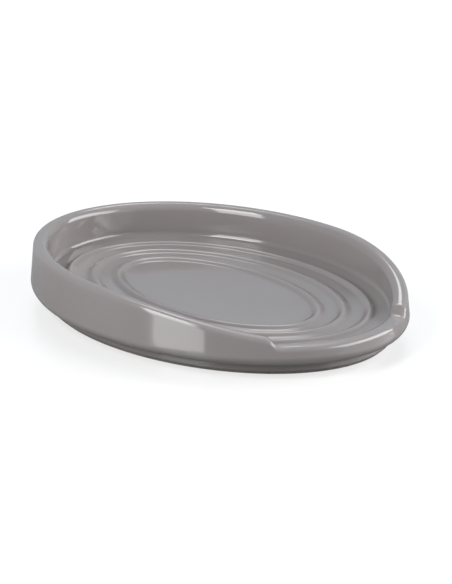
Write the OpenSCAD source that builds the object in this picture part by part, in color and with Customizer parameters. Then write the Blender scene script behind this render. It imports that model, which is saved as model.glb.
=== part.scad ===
// Oval spoon rest: a stoneware dish with a sweeping rim, a low end for the handle and a ridged floor.
// One section is carried round an oval. Its rim follows a height law, and its floor stays level.
// The clay body and its glazes share the same surfaces. Lengths are in millimetres, +Z is up,
// the foot stands on z = 0 and the low end of the rim faces +X.

/* [Outline] */
// Length of the dish at its widest level
dish_length = 152; // [136:1:170]
// Width of the dish at its widest level
dish_width = 111.2; // [100:0.2:124]

/* [Rim] */
// Height of the rim above the table, away from the low end
rim_height = 21; // [20:0.5:26]
// Width of the rim between its outer and inner faces
rim_width = 5.3; // [5:0.1:6.4]
// Radius of the rim's outer edge
rim_outer_radius = 1.8; // [1.2:0.1:2]
// Radius of the rim's inner edge
rim_inner_radius = 2.6; // [2:0.1:3]
// How far the outer face leans in from its widest level up to the full rim
wall_lean = 1; // [0:0.1:1.6]

/* [Low end] */
// Height of the low lip that the handle lies on
lip_height = 10.8; // [9.8:0.1:12]
// Width of the gap in the rim, between the middles of its two shoulders
gap_width = 55.6; // [46:0.2:66]
// Width that each shoulder takes to climb from the lip to the rim
shoulder_run = 3.2; // [2.6:0.2:8]
// Distance behind the middle of the dish where the rim starts to fall
swoop_start = 1; // [0:1:20]
// How far the falling rim would come down at the very end of the dish
swoop_fall = 10.3; // [8:0.1:12]

/* [Well] */
// Height of the flat middle of the floor
floor_height = 7.6; // [7:0.1:8]
// Height that the floor gains from one band to the next outwards
floor_rise = 0.4; // [0:0.05:0.5]
// How far the inner face of the wall leans into the well
well_lean = 0.3; // [0:0.1:1]
// Radius of the cove between the wall and the floor
cove_radius = 2; // [1.6:0.1:2.6]
// Slope of the floor's edge below the cove, in degrees
cove_slope = 15; // [8:1:20]
// How far the cove and the slope below it reach in over the floor
cove_reach = 4.8; // [4.2:0.1:5.4]
// Width of the level gutter between the cove and the outermost ridge
gutter_width = 0.3; // [0.2:0.1:1.5]
// Number of ridges round the flat middle
ridge_count = 3; // [1:1:3]
// Width of a ridge
ridge_width = 3.2; // [2.4:0.1:3.8]
// Height of a ridge above the band inside it
ridge_height = 0.85; // [0.6:0.05:1.1]
// Distance from one ridge to the next
ridge_pitch = 8.8; // [7.6:0.1:9.4]

/* [Foot] */
// Distance from the widest outline in to the foot
foot_inset = 5.7; // [5:0.1:6.6]
// Height of the foot, up to the underside of the wall
foot_height = 4; // [3.6:0.1:4.6]
// Width of the foot ring
foot_width = 6; // [4.6:0.2:8]
// Depth of the recess inside the foot ring
recess_depth = 2.4; // [2:0.1:3]
// Radius of the wall's lower edge
base_radius = 3.4; // [2.4:0.1:3.6]
// Radius in the corner between the foot and the wall
groove_radius = 1; // [0.7:0.1:1.2]
// Radius in the corner of the recess
recess_radius = 1; // [0.7:0.1:1.2]
// Width of the bevel on the edges of the bare foot
foot_bevel = 0.5; // [0.3:0.1:0.6]

/* [Glaze] */
// Thickness of the glaze
glaze_thickness = 0.45; // [0.3:0.05:0.5]
// Height of the bare clay left above the table
bare_height = 0.8; // [0.7:0.1:1.2]

/* [Hidden] */

// Sides of the oval, and the number of the side that stands where the dish is widest
oval_sides = 60;
widest_side = 19;
// Flat steps across each rounded corner
groove_steps = 1;
corner_steps = 2;
round_steps = 3;

// Across a ridge: place as a share of its width, height as a share of its own height
ridge_shares = [[-1/2, 0], [-1/4, 0.85], [0, 1], [1/4, 0.85], [1/2, 0]];
// Largest share of the lip's outer face that the rounded edge may take
lip_edge_share = 0.8;

// Degrees by which the sides are drawn round towards the low end
widest_turn = widest_side * 360 / oval_sides;
gathering = (widest_turn - 90) / sin(widest_turn);

half_length = dish_length / 2;
half_width = dish_width / 2;
widest_height = foot_height + base_radius;
foot_inner = foot_inset + foot_width;
gutter_height = band_height(0);
slope_run = cove_reach - cove_radius * (1 - sin(cove_slope));
cove_rise = slope_run * tan(cove_slope) + cove_radius * cos(cove_slope);

// Height of the floor just inside a ridge, counted from the outermost ridge inwards
function band_height(ridge) = floor_height + (ridge_count - 1 - ridge) * floor_rise;

// A share held between 0 and 1, easing in and out
function eased(share) = let (held = max(0, min(1, share))) held * held * (3 - 2 * held);

// Points of a rounded corner
function corner(centre, radius, from, to, steps) =
    [for (step = [0 : steps])
        let (turn = from + (to - from) * step / steps)
        centre + radius * [cos(turn), sin(turn)]];

// A point on the oval at an angle, moved in from the widest outline and raised
function oval_point(angle, place) =
    [(half_length - place.x) * cos(angle), (half_width - place.x) * sin(angle), place.y];

// Height of the rim at an angle: level behind, sweeping down towards +X, with shoulders down to the lip
function rim_at(angle) =
    let (along = half_length * cos(angle))
    let (aside = abs(half_width * sin(angle)))
    let (fallen_share = max(0, (along + swoop_start) / (half_length + swoop_start)))
    let (swept = rim_height - swoop_fall * fallen_share * fallen_share)
    let (climb_share = along > 0 ? eased((aside - gap_width / 2) / shoulder_run + 1/2) : 1)
    lip_height + max(0, swept - lip_height) * climb_share;

// Outer face of the dish from the bare line on the foot up to the rim's outer edge, as inset and height
function outer_face(rim) =
    let (edge = min(rim_outer_radius, (rim - widest_height) * lip_edge_share))
    concat(
        [[foot_inset, bare_height]],
        corner([foot_inset - groove_radius, foot_height - groove_radius], groove_radius, 0, 90, groove_steps),
        corner([base_radius, widest_height], base_radius, 270, 180, round_steps),
        corner([rim_inset(rim) + edge, rim - edge], edge, 180, 90, corner_steps));

// Inset of the rim's outer face where the rim has a given height
function rim_inset(rim) = wall_lean * (rim - widest_height) / (rim_height - widest_height);

// Inner face from the rim's inner edge down to the gutter, flattened towards the lip with the rim's height
function inner_face(rim) =
    let (inner = rim_inset(rim) + rim_width)
    let (edge_centre = [inner - rim_inner_radius, rim_height - rim_inner_radius])
    let (cove_centre = [inner + well_lean + cove_radius, gutter_height + cove_rise])
    let (flattening = (rim - gutter_height) / (rim_height - gutter_height))
    [for (place = concat(
            corner(edge_centre, rim_inner_radius, 90, 0, round_steps),
            corner(cove_centre, cove_radius, 180, 270 - cove_slope, corner_steps),
            [[inner + well_lean + cove_reach, gutter_height]]))
        [place.x, gutter_height + (place.y - gutter_height) * flattening]];

// Inset of the middle of a ridge
function ridge_inset(ridge) =
    wall_lean + rim_width + well_lean + cove_reach + gutter_width + ridge_width / 2 + ridge * ridge_pitch;

// Floor from the outermost ridge in to the flat middle
function floor_face() =
    concat(
        [for (ridge = [0 : ridge_count - 1], share = ridge_shares)
            let (band = band_height(share.x < 0 ? max(0, ridge - 1) : ridge))
            let (crest = band_height(ridge) + ridge_height)
            [ridge_inset(ridge) + share.x * ridge_width, band + (crest - band) * share.y]],
        [[ridge_inset(ridge_count - 1) + ridge_width, floor_height]]);

// Glazed surface over the dish at an angle, and glazed surface inside the foot ring
function dish_section(angle) =
    let (rim = rim_at(angle))
    concat(outer_face(rim), inner_face(rim), floor_face());

function recess_section() =
    let (recess_centre = [foot_inner + recess_radius, recess_depth - recess_radius])
    concat(
        [[foot_inner, bare_height]],
        corner(recess_centre, recess_radius, 180, 90, corner_steps),
        [[foot_inner + recess_radius + foot_width, recess_depth]]);

// A section moved sideways from its own line by a distance
function moved(section, distance) =
    [for (i = [0 : len(section) - 1])
        let (along = section[min(i + 1, len(section) - 1)] - section[max(i - 1, 0)])
        section[i] + distance * [along.y, -along.x] / norm(along)];

// Sections listed from the middle of the dish outwards
function reversed(section) = [for (i = [len(section) - 1 : -1 : 0]) section[i]];

// Clay surface of the bare foot, from inside the recess to the outer bare line
function bare_foot() =
    let (outer = foot_inset + glaze_thickness)
    let (inner = foot_inner - glaze_thickness)
    [[inner, foot_bevel], [inner - foot_bevel, 0], [outer + foot_bevel, 0], [outer, foot_bevel]];

// Closed sections at an angle, each from one middle of the dish out and back to the other
function body_section(angle) =
    concat(
        reversed(moved(recess_section(), -glaze_thickness)),
        bare_foot(),
        moved(dish_section(angle), glaze_thickness));

function coat_section(angle) =
    concat(reversed(moved(dish_section(angle), glaze_thickness)), dish_section(angle));

function underside_section() =
    concat(reversed(recess_section()), moved(recess_section(), -glaze_thickness));

// Angles at which the sections stand round the oval, closer together towards the low end
function oval_angles() =
    [for (side = [0 : oval_sides - 1])
        let (turn = side * 360 / oval_sides)
        turn - gathering * sin(turn)];

// Solid from one section at each angle round the oval, closed at both middles
module carried_round(sections) {
    angles = oval_angles();
    sides = len(sections);
    rings = len(sections[0]);
    points = [for (ring = [0 : rings - 1], side = [0 : sides - 1])
        oval_point(angles[side], sections[side][ring])];
    walls = [for (ring = [0 : rings - 2], side = [0 : sides - 1])
        let (here = ring * sides + side)
        let (next = ring * sides + (side + 1) % sides)
        each [[here, here + sides, next + sides], [here, next + sides, next]]];
    first_end = [for (side = [0 : sides - 1]) side];
    last_end = [for (side = [sides - 1 : -1 : 0]) (rings - 1) * sides + side];
    polyhedron(points, concat([first_end], walls, [last_end]));
}

module stoneware_body() {
    color("#857b72")
        carried_round([for (angle = oval_angles()) body_section(angle)]);
}

module glaze_coat() {
    color("#938f8f")
        carried_round([for (angle = oval_angles()) coat_section(angle)]);
}

module underside_glaze() {
    color("#837f7e")
        carried_round([for (angle = oval_angles()) underside_section()]);
}

stoneware_body();
glaze_coat();
underside_glaze();
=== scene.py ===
"""Looks of an oval stoneware spoon rest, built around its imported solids.

The dish is one section carried round an oval. Its rim is level behind, falls towards the low end, and steps
down over two shoulders to the lip that a spoon's handle lies on. Lengths are in metres, +Z is up, the foot
stands on z = 0 and the low end faces +X.
"""

import logging
import math
from dataclasses import dataclass, replace
from enum import Enum

import bpy
from bpy.types import ID, Material, Mesh, Node, NodeSocket, NodeTree, Object
from mathutils import Color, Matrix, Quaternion, Vector

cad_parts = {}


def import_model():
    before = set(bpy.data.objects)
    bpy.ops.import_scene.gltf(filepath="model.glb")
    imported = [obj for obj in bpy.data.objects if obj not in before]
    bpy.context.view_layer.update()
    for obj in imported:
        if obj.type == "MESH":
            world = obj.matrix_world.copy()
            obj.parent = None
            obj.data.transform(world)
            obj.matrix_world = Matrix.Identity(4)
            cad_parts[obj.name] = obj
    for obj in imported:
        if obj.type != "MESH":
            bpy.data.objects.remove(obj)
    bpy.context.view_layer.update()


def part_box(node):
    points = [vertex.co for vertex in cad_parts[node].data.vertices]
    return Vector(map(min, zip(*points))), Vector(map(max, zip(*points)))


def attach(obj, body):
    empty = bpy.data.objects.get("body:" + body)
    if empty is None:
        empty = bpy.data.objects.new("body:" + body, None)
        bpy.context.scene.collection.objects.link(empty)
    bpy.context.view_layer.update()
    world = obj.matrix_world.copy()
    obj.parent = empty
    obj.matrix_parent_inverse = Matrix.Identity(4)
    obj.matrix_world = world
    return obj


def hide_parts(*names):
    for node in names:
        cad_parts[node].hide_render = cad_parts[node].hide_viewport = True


LOG = logging.getLogger("spoon_rest")
MM = 0.001

# Directions across the section, in degrees from the inward one towards up
INWARD = 0.0
UP = 90.0
OUTWARD = 180.0
DOWN = 270.0

Z_AXIS = (0.0, 0.0, 1.0)
BYTE_MAX = 255
WHITE = (1.0, 1.0, 1.0, 1.0)
BLACK = (0.0, 0.0, 0.0, 1.0)


class Zone(Enum):
    """How a point of the section answers to the height of the rim."""

    FIXED = "stays where it is"
    WALL = "climbs with the outer wall"
    INSIDE = "flattens with the inner wall"


@dataclass(frozen=True)
class DishSizes:
    """Sizes of the dish in metres, with the slope of its cove in degrees.

    They are the sizes of its solids, but for what is softer here: the ridges stand higher and reach further
    to both sides, and the flat middle sags.
    """

    half_length: float
    half_width: float
    rim_height: float
    rim_width: float = 5.3 * MM
    rim_outer_radius: float = 1.8 * MM
    rim_inner_radius: float = 2.6 * MM
    wall_lean: float = 1.0 * MM
    lip_height: float = 10.8 * MM
    lip_edge_share: float = 0.8
    gap_width: float = 55.6 * MM
    shoulder_run: float = 3.2 * MM
    swoop_start: float = 1.0 * MM
    swoop_fall: float = 10.3 * MM
    floor_height: float = 7.6 * MM
    floor_rise: float = 0.4 * MM
    floor_sag: float = 0.36 * MM
    well_lean: float = 0.3 * MM
    cove_radius: float = 2.0 * MM
    cove_slope: float = 15.0
    cove_reach: float = 4.8 * MM
    gutter_width: float = 0.3 * MM
    ridge_count: int = 3
    ridge_width: float = 3.2 * MM
    ridge_height: float = 0.95 * MM
    ridge_pitch: float = 8.8 * MM
    ridge_outer_reach: float = 2.5 * MM
    ridge_inner_reach: float = 2.8 * MM
    foot_inset: float = 5.7 * MM
    foot_height: float = 4.0 * MM
    foot_width: float = 6.0 * MM
    foot_bevel: float = 0.5 * MM
    recess_depth: float = 2.4 * MM
    recess_radius: float = 1.0 * MM
    base_radius: float = 3.4 * MM
    groove_radius: float = 1.0 * MM
    glaze_thickness: float = 0.45 * MM
    bare_height: float = 0.8 * MM

    @property
    def widest_height(self) -> float:
        """Level at which the outline is widest."""
        return self.foot_height + self.base_radius

    @property
    def gutter_height(self) -> float:
        """Level of the gutter at the foot of the inner wall."""
        return self.band_height(0)

    @property
    def foot_inner(self) -> float:
        """Inset of the foot ring's inner side."""
        return self.foot_inset + self.foot_width

    def band_height(self, ridge: int) -> float:
        """Level of the floor just inside a ridge, counted from the outermost one."""
        return self.floor_height + (self.ridge_count - 1 - ridge) * self.floor_rise

    def ridge_inset(self, ridge: int) -> float:
        """Inset of the middle of a ridge.

        Args:
            ridge: Number of the ridge, counted from the outermost one.

        Returns:
            The distance in from the widest outline.
        """
        wall = self.wall_lean + self.rim_width + self.well_lean
        first = wall + self.cove_reach + self.gutter_width + self.ridge_width / 2
        return first + ridge * self.ridge_pitch


@dataclass(frozen=True)
class SectionPoint:
    """One point of the dish's section where the rim has its full height.

    A wall point is given by the share of the wall climbed and by its place on the rounded edge, in radii.
    Any other point is given by its inset and height. Glazed is 0 on bare clay, and pooled and thinned say
    how thick the glaze lies.
    """

    inset: float = 0.0
    height: float = 0.0
    zone: Zone = Zone.FIXED
    climb: float = 0.0
    edge_in: float = 0.0
    edge_up: float = 0.0
    glazed: float = 1.0
    pooled: float = 0.0
    thinned: float = 0.0


Section = list[SectionPoint]
Place = tuple[float, float]


@dataclass(frozen=True)
class DishSection:
    """Draws the section of the dish as points, from the recess over foot and rim to the floor's middle.

    The glaze is fully pooled or thinned where the section turns by the full bend over the bend's reach.
    """

    sizes: DishSizes
    corner_steps: int = 8
    round_steps: int = 14
    straight_steps: int = 6
    ridge_steps: int = 18
    middle_steps: int = 10
    bend_reach: float = 1.1 * MM
    full_bend: float = math.radians(70)

    @staticmethod
    def arc(centre: Place, radius: float, start: float, end: float, steps: int) -> list[Place]:
        """Places along an arc.

        Args:
            centre: Inset and height of the arc's centre.
            radius: Radius of the arc.
            start: First angle in degrees, from the inward direction towards up.
            end: Last angle in degrees.
            steps: Number of straight steps along the arc.

        Returns:
            The places from start to end, both included.
        """
        turns = [math.radians(start + (end - start) * step / steps) for step in range(steps + 1)]
        return [(centre[0] + radius * math.cos(turn), centre[1] + radius * math.sin(turn)) for turn in turns]

    @staticmethod
    def between(first: Place, last: Place, steps: int) -> list[Place]:
        """Places strictly between two places on a straight line.

        Args:
            first: Inset and height where the line starts.
            last: Inset and height where it ends.
            steps: Number of equal steps along the line.

        Returns:
            The places between, without the two ends.
        """
        shares = [step / steps for step in range(1, steps)]
        run, rise = last[0] - first[0], last[1] - first[1]
        return [(first[0] + run * share, first[1] + rise * share) for share in shares]

    def foot_side(self) -> Section:
        """Draws the side of the foot and the wall's lower edge.

        Returns:
            Points from the bare line up the foot, through the groove and round the edge.
        """
        dish = self.sizes
        groove_centre = (dish.foot_inset - dish.groove_radius, dish.foot_height - dish.groove_radius)
        groove = self.arc(groove_centre, dish.groove_radius, INWARD, UP, self.corner_steps)
        base_centre = (dish.base_radius, dish.widest_height)
        base = self.arc(base_centre, dish.base_radius, DOWN, OUTWARD, self.round_steps)
        bare_line = (dish.foot_inset, dish.bare_height)
        steps = self.straight_steps // 2
        places = [bare_line, *self.between(bare_line, groove[0], steps), *groove]
        places += self.between(groove[-1], base[0], steps) + base
        return [SectionPoint(*place) for place in places]

    def outer_wall(self) -> Section:
        """Draws the outer wall and the rim's outer edge.

        Returns:
            Points from above the widest level up to the top of the rim.
        """
        climbs = [step / self.straight_steps for step in range(1, self.straight_steps)]
        wall = [SectionPoint(zone=Zone.WALL, climb=climb) for climb in climbs]
        edge = self.arc((1.0, 0.0), 1.0, OUTWARD, UP, self.corner_steps)
        return wall + [SectionPoint(zone=Zone.WALL, climb=1.0, edge_in=x, edge_up=y) for x, y in edge]

    def inner_wall(self) -> Section:
        """Draws the rim's inner edge, the inner wall and the cove.

        Returns:
            Points from the top of the rim down to the gutter.
        """
        dish = self.sizes
        inner = dish.wall_lean + dish.rim_width
        slope = math.radians(dish.cove_slope)
        slope_run = dish.cove_reach - dish.cove_radius * (1 - math.sin(slope))
        rise = slope_run * math.tan(slope) + dish.cove_radius * math.cos(slope)
        edge_centre = (inner - dish.rim_inner_radius, dish.rim_height - dish.rim_inner_radius)
        edge = self.arc(edge_centre, dish.rim_inner_radius, UP, INWARD, self.round_steps)
        cove_centre = (inner + dish.well_lean + dish.cove_radius, dish.gutter_height + rise)
        cove = self.arc(cove_centre, dish.cove_radius, OUTWARD, DOWN - dish.cove_slope, self.round_steps)
        gutter = (inner + dish.well_lean + dish.cove_reach, dish.gutter_height)
        places = edge + self.between(edge[-1], cove[0], self.straight_steps) + cove
        places += self.between(cove[-1], gutter, self.straight_steps) + [gutter]
        return [SectionPoint(*place, zone=Zone.INSIDE) for place in places]

    def ridge(self, ridge: int) -> list[Place]:
        """Places across one ridge, from its outer side to its inner side.

        Args:
            ridge: Number of the ridge, counted from the outermost one.

        Returns:
            Inset and height of each place.
        """
        dish = self.sizes
        # The outermost ridge starts where the cove ends.
        outer_reach = dish.ridge_outer_reach if ridge else dish.ridge_width / 2 + dish.gutter_width
        places = []
        for step in range(self.ridge_steps + 1):
            across = 2 * step / self.ridge_steps - 1
            reach = outer_reach if across < 0 else dish.ridge_inner_reach
            swell = dish.ridge_height * (1 + math.cos(math.pi * across)) / 2
            places.append((dish.ridge_inset(ridge) + across * reach, dish.band_height(ridge) + swell))
        return places

    def floor(self) -> Section:
        """Draws the ridges, the bands between them and the flat middle.

        Returns:
            Points from the outermost ridge in to the middle of the dish.
        """
        dish = self.sizes
        places = self.ridge(0)
        for number in range(1, dish.ridge_count):
            following = self.ridge(number)
            places += self.between(places[-1], following[0], self.straight_steps) + following
        edge_inset = places[-1][0]
        for step in range(1, self.middle_steps + 1):
            share = step / self.middle_steps
            sunk = dish.floor_sag * (1 - (1 - share) ** 2)
            places.append((edge_inset + share * (dish.half_width - edge_inset), dish.floor_height - sunk))
        return [SectionPoint(*place) for place in places]

    def full_place(self, point: SectionPoint) -> Place:
        """Place of a point where the rim has its full height.

        Args:
            point: The point.

        Returns:
            Its inset and height.
        """
        dish = self.sizes
        if point.zone is not Zone.WALL:
            return point.inset, point.height
        climbed = point.climb * (dish.rim_height - dish.rim_outer_radius - dish.widest_height)
        inset = point.climb * dish.wall_lean + point.edge_in * dish.rim_outer_radius
        return inset, dish.widest_height + climbed + point.edge_up * dish.rim_outer_radius

    def bend_at(self, places: list[Place], number: int) -> float:
        """How far the section turns near one of its places.

        Args:
            places: The section's places.
            number: Number of the place in the list.

        Returns:
            The turn in radians over the bend's reach to both sides. It is negative in a hollow.
        """
        here = Vector(places[number])
        behind = next((Vector(place) for place in reversed(places[:number]) if self.far(place, here)), None)
        ahead = next((Vector(place) for place in places[number + 1:] if self.far(place, here)), None)
        if behind is None or ahead is None:
            return 0.0
        return (here - behind).angle_signed(ahead - here)

    def far(self, place: Place, here: Vector) -> bool:
        """Whether a place lies at least the bend's reach away."""
        return (Vector(place) - here).length >= self.bend_reach

    def with_glaze(self, section: Section) -> Section:
        """Marks where the glaze pools in hollows and thins over edges.

        Args:
            section: Points of a glazed surface, in their order.

        Returns:
            The same points with their pooled and thinned shares.
        """
        places = [self.full_place(point) for point in section]
        marked = []
        for number, point in enumerate(section):
            share = min(1.0, max(-1.0, self.bend_at(places, number) / self.full_bend))
            marked.append(replace(point, pooled=max(0.0, -share), thinned=max(0.0, share)))
        return marked

    def dish_surface(self) -> Section:
        """Glazed surface of the dish, from the bare line on the foot to the middle of the floor."""
        return self.with_glaze(self.foot_side() + self.outer_wall() + self.inner_wall() + self.floor())

    def recess_surface(self) -> Section:
        """Draws the glazed surface inside the foot ring.

        Returns:
            Points from the middle out to the bare line.
        """
        dish = self.sizes
        corner_centre = (dish.foot_inner + dish.recess_radius, dish.recess_depth - dish.recess_radius)
        corner = self.arc(corner_centre, dish.recess_radius, UP, OUTWARD, self.corner_steps)
        middle = (dish.half_width, dish.recess_depth)
        places = [middle, *self.between(middle, corner[0], self.middle_steps), *corner]
        places.append((dish.foot_inner, dish.bare_height))
        return self.with_glaze([SectionPoint(*place) for place in places])

    def bare_foot(self) -> Section:
        """Draws the bare clay of the foot ring.

        Returns:
            Points from the recess to the outer bare line.
        """
        dish = self.sizes
        outer = dish.foot_inset + dish.glaze_thickness
        inner = dish.foot_inner - dish.glaze_thickness
        corners = [(inner, dish.foot_bevel), (inner - dish.foot_bevel, 0.0),
                   (outer + dish.foot_bevel, 0.0), (outer, dish.foot_bevel)]
        places = corners[:1]
        for first, last in zip(corners, corners[1:]):
            places += self.between(first, last, self.straight_steps) + [last]
        return [SectionPoint(*place, glazed=0.0) for place in places]

    def clay_surface(self) -> Section:
        """Whole surface of the clay, from the middle of the recess to the middle of the floor."""
        return self.recess_surface() + self.bare_foot() + self.dish_surface()


def set_inputs(node: Node, **values: object) -> None:
    """Sets constants on a node's inputs, with underscores for the spaces in their names."""
    for name, value in values.items():
        node.inputs[name.replace("_", " ")].default_value = value


class Field:
    """A value in a node tree. Its arithmetic adds Math nodes to the tree."""

    def __init__(self, tree: NodeTree, socket: NodeSocket) -> None:
        """Keeps the tree and the socket that gives the value."""
        self.tree = tree
        self.socket = socket

    def math(self, operation: str, *others: "Field | float") -> "Field":
        """Adds one Math node.

        Args:
            operation: Name of the node's operation.
            others: Second and later operands, as fields or numbers.

        Returns:
            The node's result.
        """
        node = self.tree.nodes.new("ShaderNodeMath")
        node.operation = operation
        for place, value in enumerate((self, *others)):
            if isinstance(value, Field):
                self.tree.links.new(value.socket, node.inputs[place])
            else:
                node.inputs[place].default_value = value
        return Field(self.tree, node.outputs[0])

    def __add__(self, other: "Field | float") -> "Field":
        """Sum of two values."""
        return self.math("ADD", other)

    def __sub__(self, other: "Field | float") -> "Field":
        """Difference of two values."""
        return self.math("SUBTRACT", other)

    def __mul__(self, other: "Field | float") -> "Field":
        """Product of two values."""
        return self.math("MULTIPLY", other)

    def __truediv__(self, other: "Field | float") -> "Field":
        """Quotient of two values."""
        return self.math("DIVIDE", other)


class OvalTree:
    """The Geometry Nodes tree that carries a section round the oval and lets its rim rise and fall."""

    SIZES = ("half_length", "half_width", "rim_height", "rim_outer_radius", "wall_lean", "widest_height",
             "gutter_height", "lip_height", "lip_edge_share", "gap_width", "shoulder_run", "swoop_start",
             "swoop_fall")
    INPUTS = {"section": "NodeSocketGeometry", **dict.fromkeys(SIZES, "NodeSocketFloat"),
              "sides": "NodeSocketInt", "gathering": "NodeSocketFloat", "sink": "NodeSocketFloat",
              "material": "NodeSocketMaterial"}
    MARKS = ("glazed", "pooled", "thinned")
    MERGE_DISTANCE = 0.001 * MM

    def __init__(self) -> None:
        """Makes the tree with its named inputs and all its nodes, and keeps the inputs' identifiers."""
        self.tree = bpy.data.node_groups.new("section carried round the oval", "GeometryNodeTree")
        self.sockets: dict[str, str] = {}
        for name, kind in self.INPUTS.items():
            socket = self.tree.interface.new_socket(name, in_out="INPUT", socket_type=kind)
            self.sockets[name] = socket.identifier
        self.tree.interface.new_socket("dish", in_out="OUTPUT", socket_type="NodeSocketGeometry")
        self.group_input = self.tree.nodes.new("NodeGroupInput")
        self.fill()

    def node(self, kind: str, **links: NodeSocket) -> Node:
        """Adds a node.

        Args:
            kind: Blender's name for the node.
            links: Sockets linked to the node's inputs, with underscores for the spaces in their names.

        Returns:
            The new node.
        """
        made = self.tree.nodes.new(kind)
        for name, socket in links.items():
            self.tree.links.new(socket, made.inputs[name.replace("_", " ")])
        return made

    def given(self, name: str) -> Field:
        """Value of a named input."""
        return Field(self.tree, self.group_input.outputs[name])

    def attribute(self, name: str) -> NodeSocket:
        """Reads what points hold under a name.

        Args:
            name: Name of the attribute.

        Returns:
            The socket that gives the value.
        """
        reader = self.node("GeometryNodeInputNamedAttribute")
        reader.data_type = "FLOAT"
        set_inputs(reader, Name=name)
        return reader.outputs["Attribute"]

    def on_section(self, name: str, station: Field) -> Field:
        """Value that a point of the section holds under a name.

        Args:
            name: Name of the attribute on the section.
            station: Number of the point on the section.

        Returns:
            The value at that point.
        """
        sample = self.node("GeometryNodeSampleIndex", Geometry=self.group_input.outputs["section"],
                           Index=station.socket)
        sample.data_type = "FLOAT"
        sample.domain = "POINT"
        self.tree.links.new(self.attribute(name), sample.inputs["Value"])
        return Field(self.tree, sample.outputs["Value"])

    def eased(self, value: Field, start: Field, end: Field) -> Field:
        """Share from 0 to 1 between two values, easing in and out.

        Args:
            value: Value that is placed between the two.
            start: Value that gives 0.
            end: Value that gives 1.

        Returns:
            The eased share, held between 0 and 1.
        """
        node = self.node("ShaderNodeMapRange", Value=value.socket, From_Min=start.socket, From_Max=end.socket)
        node.interpolation_type = "SMOOTHSTEP"
        return Field(self.tree, node.outputs["Result"])

    def rim_at(self, cosine: Field, sine: Field) -> Field:
        """Height of the rim in a direction.

        Args:
            cosine: Cosine of the angle round the oval.
            sine: Sine of that angle.

        Returns:
            The height: level behind, sweeping down towards +X, with shoulders down to the lip.
        """
        along = self.given("half_length") * cosine
        aside = (self.given("half_width") * sine).math("ABSOLUTE")
        start = self.given("swoop_start")
        fallen = ((along + start) / (self.given("half_length") + start)).math("MAXIMUM", 0.0)
        swept = self.given("rim_height") - self.given("swoop_fall") * fallen * fallen
        half_gap = self.given("gap_width") / 2.0
        half_run = self.given("shoulder_run") / 2.0
        climb = self.eased(aside, half_gap - half_run, half_gap + half_run)
        behind = along.math("LESS_THAN", 0.0)
        lip = self.given("lip_height")
        return lip + (swept - lip).math("MAXIMUM", 0.0) * climb.math("MAXIMUM", behind)

    def place_at(self, rim: Field, station: Field) -> tuple[Field, Field]:
        """Inset and height of a section's point where the rim has a height.

        Args:
            rim: Height of the rim.
            station: Number of the point on the section.

        Returns:
            The inset and the height, each taken by the zone that the point is in.
        """
        widest, gutter = self.given("widest_height"), self.given("gutter_height")
        full_rim, full_lean = self.given("rim_height"), self.given("wall_lean")
        inset, height = self.on_section("inset", station), self.on_section("height", station)
        climb = self.on_section("climb", station)
        edge = self.given("rim_outer_radius").math("MINIMUM", (rim - widest) * self.given("lip_edge_share"))
        lean = full_lean * (rim - widest) / (full_rim - widest)
        wall_inset = climb * lean + edge * self.on_section("edge_in", station)
        wall_height = widest + climb * (rim - edge - widest) + edge * self.on_section("edge_up", station)
        inside_inset = inset + lean - full_lean
        inside_height = gutter + (height - gutter) * ((rim - gutter) / (full_rim - gutter))
        on_wall = self.on_section(Zone.WALL.name, station)
        inside = self.on_section(Zone.INSIDE.name, station)
        fixed = self.on_section(Zone.FIXED.name, station)
        return (inset * fixed + wall_inset * on_wall + inside_inset * inside,
                height * fixed + wall_height * on_wall + inside_height * inside)

    def fill(self) -> None:
        """Adds the nodes, from the grid of sides and stations to the finished surface."""
        section = self.group_input.outputs["section"]
        size = self.node("GeometryNodeAttributeDomainSize", Geometry=section)
        count = Field(self.tree, size.outputs["Point Count"])
        sides = self.given("sides")
        grid = self.node("GeometryNodeMeshGrid", Vertices_X=(sides + 1.0).socket, Vertices_Y=count.socket)
        index = Field(self.tree, self.node("GeometryNodeInputIndex").outputs["Index"])
        station = index.math("MODULO", count)
        turn = (index / count).math("FLOOR") / sides * math.tau
        angle = turn - self.given("gathering") * turn.math("SINE")
        cosine, sine = angle.math("COSINE"), angle.math("SINE")
        inset, height = self.place_at(self.rim_at(cosine, sine), station)
        place = self.node("ShaderNodeCombineXYZ", X=((self.given("half_length") - inset) * cosine).socket,
                          Y=((self.given("half_width") - inset) * sine).socket, Z=height.socket)
        surface = grid.outputs["Mesh"]
        for mark in self.MARKS:
            surface = self.marked(surface, mark, self.on_section(mark, station))
        placed = self.node("GeometryNodeSetPosition", Geometry=surface, Position=place.outputs["Vector"])
        merged = self.node("GeometryNodeMergeByDistance", Geometry=placed.outputs["Geometry"])
        set_inputs(merged, Distance=self.MERGE_DISTANCE)
        sunk = self.sunk(merged.outputs["Geometry"])
        smooth = self.node("GeometryNodeSetShadeSmooth", Geometry=sunk)
        real = self.node("GeometryNodeRealizeInstances", Geometry=smooth.outputs["Geometry"])
        dressed = self.node("GeometryNodeSetMaterial", Geometry=real.outputs["Geometry"],
                            Material=self.group_input.outputs["material"])
        self.node("NodeGroupOutput", dish=dressed.outputs["Geometry"])

    def marked(self, surface: NodeSocket, name: str, value: Field) -> NodeSocket:
        """Keeps a value on the surface's points under a name.

        Args:
            surface: The surface.
            name: Name of the attribute.
            value: Value to keep.

        Returns:
            The surface with the attribute.
        """
        store = self.node("GeometryNodeStoreNamedAttribute", Geometry=surface)
        store.data_type = "FLOAT"
        store.domain = "POINT"
        set_inputs(store, Name=name)
        self.tree.links.new(value.socket, store.inputs["Value"])
        return store.outputs["Geometry"]

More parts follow.
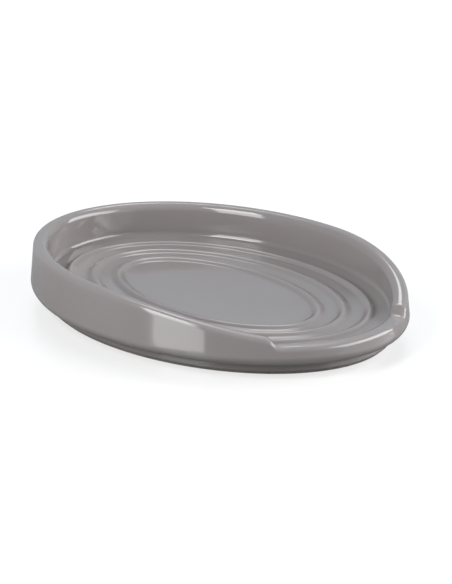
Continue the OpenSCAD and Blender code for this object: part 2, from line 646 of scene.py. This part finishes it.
    def sunk(self, surface: NodeSocket) -> NodeSocket:
        """Moves the glazed part of a surface in along its normals by the sink.

        Args:
            surface: The surface.

        Returns:
            The surface after the move.
        """
        depth = Field(self.tree, self.attribute("glazed")) * self.given("sink") * -1.0
        normal = self.node("GeometryNodeInputNormal")
        scaled = self.node("ShaderNodeVectorMath", Vector=normal.outputs["Normal"])
        scaled.operation = "SCALE"
        self.tree.links.new(depth.socket, scaled.inputs["Scale"])
        moved = self.node("GeometryNodeSetPosition", Geometry=surface, Offset=scaled.outputs["Vector"])
        return moved.outputs["Geometry"]


def linear(code: str) -> tuple[float, float, float, float]:
    """Turns a colour code into the numbers that a shader takes.

    Args:
        code: Colour as a hash sign and six hexadecimal digits.

    Returns:
        Red, green, blue and alpha on a linear scale.
    """
    shares = [byte / BYTE_MAX for byte in bytes.fromhex(code.removeprefix("#"))]
    return *Color(shares).from_srgb_to_scene_linear(), 1.0


@dataclass(frozen=True)
class GlazeFinish:
    """Glossy grey glaze that is darker where it pools and paler where it thins over an edge."""

    name: str
    colour: str = "#7a7575"
    pooled_colour: str = "#736e6e"
    thinned_colour: str = "#837e7e"
    cloud_colour: str = "#7f7a7a"
    cloud_scale: float = 26.0
    cloud_amount: float = 0.55
    roughness: float = 0.07
    roughness_change: float = 0.03
    ripple_scale: float = 60.0
    ripple_height: float = 0.03 * MM


@dataclass(frozen=True)
class ClayFinish:
    """Bare fired stoneware: matt, fine grained and flecked."""

    name: str
    colour: str = "#8d8379"
    fleck_colour: str = "#5d544c"
    grain_scale: float = 900.0
    grain_amount: float = 0.25
    fleck_scale: float = 420.0
    fleck_share: float = 0.36
    roughness: float = 0.82
    grain_height: float = 0.05 * MM


class ShaderGroups:
    """The shader node groups that more than one finish uses."""

    CLOUD_DETAIL = 3.0
    CLOUD_ROUGHNESS = 0.45
    CLOUD_LOW = 0.3
    CLOUD_HIGH = 0.7

    def __init__(self) -> None:
        """Builds each group once."""
        self.cloud = self.make_cloud()
        self.tone = self.make_tone()

    @staticmethod
    def empty(name: str, inputs: dict[str, str], outputs: dict[str, str]) -> NodeTree:
        """Makes a group with named sockets.

        Args:
            name: Name of the group.
            inputs: Kind of socket for each input's name.
            outputs: Kind of socket for each output's name.

        Returns:
            The group, with its two end nodes in it.
        """
        group = bpy.data.node_groups.new(name, "ShaderNodeTree")
        for socket_name, kind in inputs.items():
            group.interface.new_socket(socket_name, in_out="INPUT", socket_type=kind)
        for socket_name, kind in outputs.items():
            group.interface.new_socket(socket_name, in_out="OUTPUT", socket_type=kind)
        group.nodes.new("NodeGroupInput")
        group.nodes.new("NodeGroupOutput")
        return group

    def make_cloud(self) -> NodeTree:
        """Builds the group that gives soft clouds of a size.

        Returns:
            The group, which puts the clouds out as a mask and as a height.
        """
        group = self.empty("soft clouds", {"Vector": "NodeSocketVector", "Scale": "NodeSocketFloat"},
                           {"Mask": "NodeSocketFloat", "Height": "NodeSocketFloat"})
        given, result = group.nodes["Group Input"], group.nodes["Group Output"]
        noise = group.nodes.new("ShaderNodeTexNoise")
        set_inputs(noise, Detail=self.CLOUD_DETAIL, Roughness=self.CLOUD_ROUGHNESS)
        spread = group.nodes.new("ShaderNodeMapRange")
        set_inputs(spread, From_Min=self.CLOUD_LOW, From_Max=self.CLOUD_HIGH)
        group.links.new(given.outputs["Vector"], noise.inputs["Vector"])
        group.links.new(given.outputs["Scale"], noise.inputs["Scale"])
        group.links.new(noise.outputs["Fac"], spread.inputs["Value"])
        group.links.new(spread.outputs["Result"], result.inputs["Mask"])
        group.links.new(noise.outputs["Fac"], result.inputs["Height"])
        return group

    def make_tone(self) -> NodeTree:
        """Builds the group that lays two tones over a colour, one after the other.

        Returns:
            The group, with a mask for each tone.
        """
        layers = ("First", "Second")
        colours = dict.fromkeys(("Colour", *layers), "NodeSocketColor")
        masks = {f"{layer} Mask": "NodeSocketFloat" for layer in layers}
        group = self.empty("two tones over a colour", colours | masks, {"Colour": "NodeSocketColor"})
        given, result = group.nodes["Group Input"], group.nodes["Group Output"]
        below = given.outputs["Colour"]
        for layer in layers:
            mix = group.nodes.new("ShaderNodeMix")
            mix.data_type = "RGBA"
            group.links.new(given.outputs[f"{layer} Mask"], mix.inputs["Factor"])
            group.links.new(below, mix.inputs["A"])
            group.links.new(given.outputs[layer], mix.inputs["B"])
            below = mix.outputs["Result"]
        group.links.new(below, result.inputs["Colour"])
        return group


class FinishMaker:
    """Turns finishes into materials."""

    def __init__(self, groups: ShaderGroups) -> None:
        """Keeps the shared groups."""
        self.groups = groups

    @staticmethod
    def start(name: str) -> tuple[Material, NodeTree, Node]:
        """Starts a material.

        Args:
            name: Name of the material.

        Returns:
            The material, its tree and its shader.
        """
        material = bpy.data.materials.new(name)
        material.use_nodes = True
        tree = material.node_tree
        return material, tree, tree.nodes["Principled BSDF"]

    @staticmethod
    def placed(tree: NodeTree, group: NodeTree) -> Node:
        """Places a shared group in a material.

        Args:
            tree: The material's tree.
            group: The shared group.

        Returns:
            The node that holds the group.
        """
        node = tree.nodes.new("ShaderNodeGroup")
        node.node_tree = group
        return node

    def clouds(self, tree: NodeTree, scale: float) -> Node:
        """Places soft clouds of a scale that follow the object.

        Args:
            tree: The material's tree.
            scale: Clouds per metre.

        Returns:
            The placed group.
        """
        node = self.placed(tree, self.groups.cloud)
        coordinates = tree.nodes.new("ShaderNodeTexCoord")
        tree.links.new(coordinates.outputs["Object"], node.inputs["Vector"])
        set_inputs(node, Scale=scale)
        return node

    @staticmethod
    def bump(tree: NodeTree, height: NodeSocket, distance: float,
             shader: Node) -> None:
        """Raises a shader's surface by a height.

        Args:
            tree: The material's tree.
            height: Socket that gives the height from 0 to 1.
            distance: Height in metres that 1 stands for.
            shader: The shader.
        """
        node = tree.nodes.new("ShaderNodeBump")
        set_inputs(node, Distance=distance)
        tree.links.new(height, node.inputs["Height"])
        tree.links.new(node.outputs["Normal"], shader.inputs["Normal"])

    @staticmethod
    def attribute(tree: NodeTree, name: str) -> NodeSocket:
        """Reads what the piece's own points hold under a name.

        Args:
            tree: The material's tree.
            name: Name of the attribute.

        Returns:
            The socket that gives the value.
        """
        node = tree.nodes.new("ShaderNodeAttribute")
        node.attribute_name = name
        return node.outputs["Fac"]

    def glaze(self, finish: GlazeFinish) -> Material:
        """Makes the material of a glaze.

        Args:
            finish: Colours and sizes of the glaze.

        Returns:
            The material.
        """
        material, tree, shader = self.start(finish.name)
        clouds = self.clouds(tree, finish.cloud_scale)
        cloudy = tree.nodes.new("ShaderNodeMix")
        cloudy.data_type = "RGBA"
        set_inputs(cloudy, A=linear(finish.colour), B=linear(finish.cloud_colour))
        amount = Field(tree, clouds.outputs["Mask"]) * finish.cloud_amount
        tree.links.new(amount.socket, cloudy.inputs["Factor"])
        tone = self.placed(tree, self.groups.tone)
        tree.links.new(cloudy.outputs["Result"], tone.inputs["Colour"])
        set_inputs(tone, First=linear(finish.thinned_colour), Second=linear(finish.pooled_colour))
        tree.links.new(self.attribute(tree, "thinned"), tone.inputs["First Mask"])
        tree.links.new(self.attribute(tree, "pooled"), tone.inputs["Second Mask"])
        tree.links.new(tone.outputs["Colour"], shader.inputs["Base Color"])
        roughness = Field(tree, clouds.outputs["Mask"]) * finish.roughness_change + finish.roughness
        tree.links.new(roughness.socket, shader.inputs["Roughness"])
        ripple = self.clouds(tree, finish.ripple_scale)
        self.bump(tree, ripple.outputs["Height"], finish.ripple_height, shader)
        return material

    def clay(self, finish: ClayFinish) -> Material:
        """Makes the material of bare clay.

        Args:
            finish: Colours and sizes of the clay.

        Returns:
            The material.
        """
        material, tree, shader = self.start(finish.name)
        set_inputs(shader, Roughness=finish.roughness)
        grain = self.clouds(tree, finish.grain_scale)
        flecks = self.clouds(tree, finish.fleck_scale)
        fleck_mask = Field(tree, flecks.outputs["Height"]).math("LESS_THAN", finish.fleck_share)
        tone = self.placed(tree, self.groups.tone)
        fleck = linear(finish.fleck_colour)
        set_inputs(tone, Colour=linear(finish.colour), First=fleck, Second=fleck)
        soft_grain = Field(tree, grain.outputs["Mask"]) * finish.grain_amount
        tree.links.new(soft_grain.socket, tone.inputs["First Mask"])
        tree.links.new(fleck_mask.socket, tone.inputs["Second Mask"])
        tree.links.new(tone.outputs["Colour"], shader.inputs["Base Color"])
        self.bump(tree, grain.outputs["Height"], finish.grain_height, shader)
        return material


def in_scene(name: str, data: ID) -> Object:
    """Puts a mesh, a lamp or a camera into the scene.

    Args:
        name: Name of the object.
        data: The mesh, lamp or camera.

    Returns:
        The new object.
    """
    made = bpy.data.objects.new(name, data)
    bpy.context.scene.collection.objects.link(made)
    return made


@dataclass
class CarriedPiece:
    """A piece of the dish whose surface is a section carried round the oval.

    The gathering draws the sides towards the low end. The sink moves the glazed part of the surface in, and
    the wall is the thickness that the surface gets on its inner side.
    """

    INNER_SIDE = -1.0

    name: str
    node: str
    slot: str
    section: Section
    sizes: DishSizes
    tree: OvalTree
    material: Material
    sides: int = 300
    gathering: float = 0.35
    sink: float = 0.0
    wall: float = 0.0

    def line(self) -> Mesh:
        """Makes the section as a line of points.

        Returns:
            The line, whose points hold their values by name.
        """
        mesh = bpy.data.meshes.new(f"{self.name}_section")
        count = len(self.section)
        mesh.from_pydata([(0.0, 0.0, 0.0)] * count, [(n, n + 1) for n in range(count - 1)], [])
        values = {name: [getattr(point, name) for point in self.section]
                  for name in ("inset", "height", "climb", "edge_in", "edge_up", *OvalTree.MARKS)}
        for zone in Zone:
            values[zone.name] = [float(point.zone is zone) for point in self.section]
        for name, numbers in values.items():
            mesh.attributes.new(name, "FLOAT", "POINT").data.foreach_set("value", numbers)
        return mesh

    def build(self) -> Object:
        """Carries the section round the oval and keeps the result as a plain mesh.

        Returns:
            The piece's object, at the origin.
        """
        piece = in_scene(self.name, self.line())
        carry = piece.modifiers.new("carry round the oval", "NODES")
        carry.node_group = self.tree.tree
        for size in OvalTree.SIZES:
            carry[self.tree.sockets[size]] = getattr(self.sizes, size)
        for setting in ("sides", "gathering", "sink", "material"):
            carry[self.tree.sockets[setting]] = getattr(self, setting)
        if self.wall:
            self.add_wall(piece)
        return self.made_plain(piece)

    def add_wall(self, piece: Object) -> None:
        """Gives the surface its thickness on the inner side.

        Args:
            piece: The piece's object.
        """
        thicken = piece.modifiers.new("thickness", "SOLIDIFY")
        thicken.thickness = self.wall
        thicken.offset = self.INNER_SIDE

    @staticmethod
    def made_plain(piece: Object) -> Object:
        """Replaces a piece's line and modifiers by the mesh that they make.

        Args:
            piece: The object with its live modifiers.

        Returns:
            The same object with a plain mesh.
        """
        graph = bpy.context.evaluated_depsgraph_get()
        mesh = bpy.data.meshes.new_from_object(piece.evaluated_get(graph), preserve_all_data_layers=True,
                                               depsgraph=graph)
        section_line = piece.data
        piece.modifiers.clear()
        piece.data = mesh
        mesh.name = piece.name
        bpy.data.meshes.remove(section_line)
        return piece

    def dress(self, piece: Object) -> None:
        """Sets the piece on the part's body, in place of its solid.

        Args:
            piece: The piece's object.
        """
        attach(piece, "root")
        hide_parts(self.node)


def direction(azimuth: float, elevation: float) -> Vector:
    """Unit vector towards a direction.

    Args:
        azimuth: Degrees from +X towards +Y.
        elevation: Degrees above the floor.

    Returns:
        The vector.
    """
    around, above = math.radians(azimuth), math.radians(elevation)
    return Vector((math.cos(around) * math.cos(above), math.sin(around) * math.cos(above), math.sin(above)))


@dataclass(frozen=True)
class Softbox:
    """A rectangular lamp that looks at the dish. Its angles are in degrees, as the dish sees it."""

    name: str
    azimuth: float
    elevation: float
    wide: float
    tall: float
    brightness: float
    roll: float = 0.0
    distance: float = 1.2

    def side(self, angle: float) -> float:
        """Length of a side that spans an angle at the lamp's distance."""
        return 2 * self.distance * math.tan(math.radians(angle / 2))

    def build(self, aim: Vector) -> None:
        """Places the lamp.

        Args:
            aim: Point that the lamp looks at.
        """
        lamp = bpy.data.lights.new(self.name, "AREA")
        lamp.shape = "RECTANGLE"
        lamp.size = self.side(self.wide)
        lamp.size_y = self.side(self.tall)
        lamp.energy = self.brightness * math.pi * lamp.size * lamp.size_y
        holder = in_scene(self.name, lamp)
        away = direction(self.azimuth, self.elevation)
        holder.location = aim + away * self.distance
        holder.rotation_mode = "QUATERNION"
        rolled = Quaternion(Z_AXIS, math.radians(self.roll))
        holder.rotation_quaternion = away.to_track_quat("Z", "Y") @ rolled
        holder.visible_camera = False


@dataclass(frozen=True)
class GlossCard:
    """A fan-shaped card just above the floor in front of the dish. It shows only in gloss."""

    name: str = "gloss_card"
    apex: Place = (44.6 * MM, -14.3 * MM)
    first_azimuth: float = -106.5
    last_azimuth: float = -79.6
    near: float = 60 * MM
    far: float = 300 * MM
    lift: float = 0.3 * MM
    brightness: float = 3.6

    def build(self) -> None:
        """Lays the card."""
        start = Vector((*self.apex, self.lift))
        corners = [start + direction(azimuth, 0.0) * reach for azimuth, reach in
                   ((self.first_azimuth, self.near), (self.first_azimuth, self.far),
                    (self.last_azimuth, self.far), (self.last_azimuth, self.near))]
        mesh = bpy.data.meshes.new(self.name)
        mesh.from_pydata(corners, [], [range(len(corners))])
        card = in_scene(self.name, mesh)
        material, _, shader = FinishMaker.start("bright card")
        set_inputs(shader, Base_Color=BLACK, Emission_Color=WHITE, Emission_Strength=self.brightness)
        mesh.materials.append(material)
        card.visible_camera = False
        card.visible_diffuse = False
        card.visible_transmission = False
        card.visible_shadow = False


@dataclass(frozen=True)
class Studio:
    """Pale floor, white surroundings, soft lamps and the camera.

    Angles are in degrees. The camera's aim is in pixels of the picture, from the middle of the foot. A gap
    keeps the floor's face off the foot's, and only the camera sees the floor's lift. The surroundings are
    cool off camera: they shed the ambient light, and gloss shows them dim, with a glow behind the dish.
    """

    floor_half_side: float = 3.0
    floor_gap: float = 0.02 * MM
    floor_colour: float = 0.27
    floor_lift: float = 0.65
    floor_roughness: float = 0.25
    ambient: float = 0.15
    dim_gloss: float = 0.15
    glow_azimuth: float = 142.0
    glow_elevation: float = 15.0
    glow_start: float = 0.6
    glow_end: float = 0.85
    glow: float = 0.57
    cool_tint: tuple[float, float, float] = (0.83, 0.94, 1.0)
    camera_azimuth: float = -37.478
    camera_elevation: float = 17.824
    camera_distance: float = 1.0
    focal_pixels: float = 2950.76
    image_height: int = 584
    aim_right: float = 9.383
    aim_up: float = 21.889

    @staticmethod
    def ray(tree: NodeTree, *kinds: str) -> Field:
        """Mask of the rays of some kinds.

        Args:
            tree: Tree of the material or the world.
            kinds: The kinds, as Light Path names them.

        Returns:
            1 for rays of any of the kinds, and 0 for others.
        """
        path = tree.nodes.new("ShaderNodeLightPath")
        masks = [Field(tree, path.outputs[kind]) for kind in kinds]
        mask = masks[0]
        for other in masks[1:]:
            mask = mask.math("MAXIMUM", other)
        return mask

    def build_floor(self) -> None:
        """Lays the floor, which is lifted to white where it is seen and keeps the dish's shadow."""
        mesh = bpy.data.meshes.new("studio_floor")
        reach = self.floor_half_side
        corners = [(-reach, -reach), (reach, -reach), (reach, reach), (-reach, reach)]
        mesh.from_pydata([(*corner, -self.floor_gap) for corner in corners], [], [range(len(corners))])
        floor = in_scene("studio_floor", mesh)
        material, tree, shader = FinishMaker.start("pale floor")
        grey = (self.floor_colour, self.floor_colour, self.floor_colour, 1.0)
        set_inputs(shader, Base_Color=grey, Roughness=self.floor_roughness, Emission_Color=WHITE)
        lift = self.ray(tree, "Is Camera Ray") * self.floor_lift
        tree.links.new(lift.socket, shader.inputs["Emission Strength"])
        mesh.materials.append(material)

    def build_world(self) -> None:
        """Makes the surroundings white to the camera, soft as light, and dim with a glow in gloss."""
        world = bpy.data.worlds.new("white surroundings")
        bpy.context.scene.world = world
        world.use_nodes = True
        tree = world.node_tree
        background = tree.nodes["Background"]
        coordinates = tree.nodes.new("ShaderNodeTexCoord")
        facing = tree.nodes.new("ShaderNodeVectorMath")
        facing.operation = "DOT_PRODUCT"
        facing.inputs[1].default_value = direction(self.glow_azimuth, self.glow_elevation)
        tree.links.new(coordinates.outputs["Generated"], facing.inputs[0])
        glow = tree.nodes.new("ShaderNodeMapRange")
        glow.interpolation_type = "SMOOTHSTEP"
        set_inputs(glow, From_Min=self.glow_start, From_Max=self.glow_end,
                   To_Min=self.dim_gloss, To_Max=self.glow)
        tree.links.new(facing.outputs["Value"], glow.inputs["Value"])
        camera = self.ray(tree, "Is Camera Ray")
        tint = tree.nodes.new("ShaderNodeMix")
        tint.data_type = "RGBA"
        set_inputs(tint, A=(*self.cool_tint, 1.0), B=WHITE)
        tree.links.new(camera.socket, tint.inputs["Factor"])
        tree.links.new(tint.outputs["Result"], background.inputs["Color"])
        gloss = self.ray(tree, "Is Glossy Ray", "Is Transmission Ray")
        lit = gloss * (Field(tree, glow.outputs["Result"]) - self.ambient) + self.ambient
        strength = lit.math("MAXIMUM", camera)
        tree.links.new(strength.socket, background.inputs["Strength"])

    @staticmethod
    def softboxes() -> list[Softbox]:
        """Lists the lamps, each with its azimuth and elevation first.

        Returns:
            A key on the left and a panel on the right, each with a brighter head, two lamps high behind,
            and a low fill in front.
        """
        return [Softbox("key_panel", -92.0, 19.5, wide=26.0, tall=37.0, brightness=7.6, roll=5.0),
                Softbox("key_head", -100.0, 48.0, wide=24.0, tall=20.0, brightness=12.0, roll=10.0),
                Softbox("right_panel", 48.0, 26.0, wide=66.0, tall=34.0, brightness=6.3),
                Softbox("right_head", 51.0, 29.0, wide=30.0, tall=22.0, brightness=1.8),
                Softbox("back_strip", 140.0, 40.0, wide=7.0, tall=9.6, brightness=4.0),
                Softbox("back_head", 144.0, 52.0, wide=26.0, tall=17.0, brightness=3.6),
                Softbox("front_fill", 14.0, 11.0, wide=44.0, tall=14.0, brightness=1.5)]

    def build_lamps(self, aim: Vector) -> None:
        """Places every lamp and the card.

        Args:
            aim: Point that the lamps look at.
        """
        for softbox in self.softboxes():
            softbox.build(aim)
            LOG.info("lamp %s", softbox.name)
        GlossCard().build()

    def build_camera(self) -> None:
        """Places the camera at the viewing angle, looking a little above and beside the dish's foot."""
        data = bpy.data.cameras.new("camera")
        # The sensor's width spans the longer side of the picture.
        data.lens = self.focal_pixels * data.sensor_width / self.image_height
        camera = in_scene("camera", data)
        back = direction(self.camera_azimuth, self.camera_elevation)
        right = Vector(Z_AXIS).cross(back).normalized()
        up = back.cross(right)
        pixel = self.camera_distance / self.focal_pixels
        aim = (right * self.aim_right + up * self.aim_up) * pixel
        camera.location = back * self.camera_distance
        camera.rotation_mode = "QUATERNION"
        camera.rotation_quaternion = (aim - camera.location).to_track_quat("-Z", "Y")
        bpy.context.scene.camera = camera

    def build(self, aim: Vector) -> None:
        """Sets up the whole studio.

        Args:
            aim: Point that the lamps look at.
        """
        bpy.context.scene.view_settings.view_transform = "Standard"
        self.build_floor()
        self.build_world()
        self.build_lamps(aim)
        self.build_camera()


def make_pieces(sizes: DishSizes) -> list[CarriedPiece]:
    """Lists the pieces of the dish.

    Args:
        sizes: Sizes of the dish.

    Returns:
        The clay body and its two coats of glaze.
    """
    section, tree, maker = DishSection(sizes), OvalTree(), FinishMaker(ShaderGroups())
    glaze = maker.glaze(GlazeFinish("grey glaze"))
    # The underside's glaze is the grey glaze made darker as painted shade, with stronger clouds.
    shaded_glaze = maker.glaze(GlazeFinish("grey underside glaze in painted shade", colour="#757071", cloud_amount=0.8))
    clay = maker.clay(ClayFinish("bare clay"))
    thickness = sizes.glaze_thickness
    return [
        CarriedPiece("stoneware_dish", "stoneware_body", "bare_clay", section.clay_surface(),
                     sizes, tree, clay, sink=thickness),
        CarriedPiece("glaze_over_dish", "glaze_coat", "grey_glaze", section.dish_surface(),
                     sizes, tree, glaze, wall=thickness),
        CarriedPiece("glaze_under_dish", "underside_glaze", "grey_glaze", section.recess_surface(),
                     sizes, tree, shaded_glaze, wall=thickness),
    ]


def main() -> None:
    """Builds the dish and the studio around it."""
    logging.basicConfig(level=logging.INFO, format="%(name)s: %(message)s")
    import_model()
    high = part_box("glaze_coat")[1]
    sizes = DishSizes(half_length=high.x, half_width=high.y, rim_height=high.z)
    for piece in make_pieces(sizes):
        made = piece.build()
        piece.dress(made)
        LOG.info("piece %s: %d faces", made.name, len(made.data.polygons))
    Studio().build(Vector((0.0, 0.0, sizes.gutter_height)))


if __name__ == "__main__":
    main()
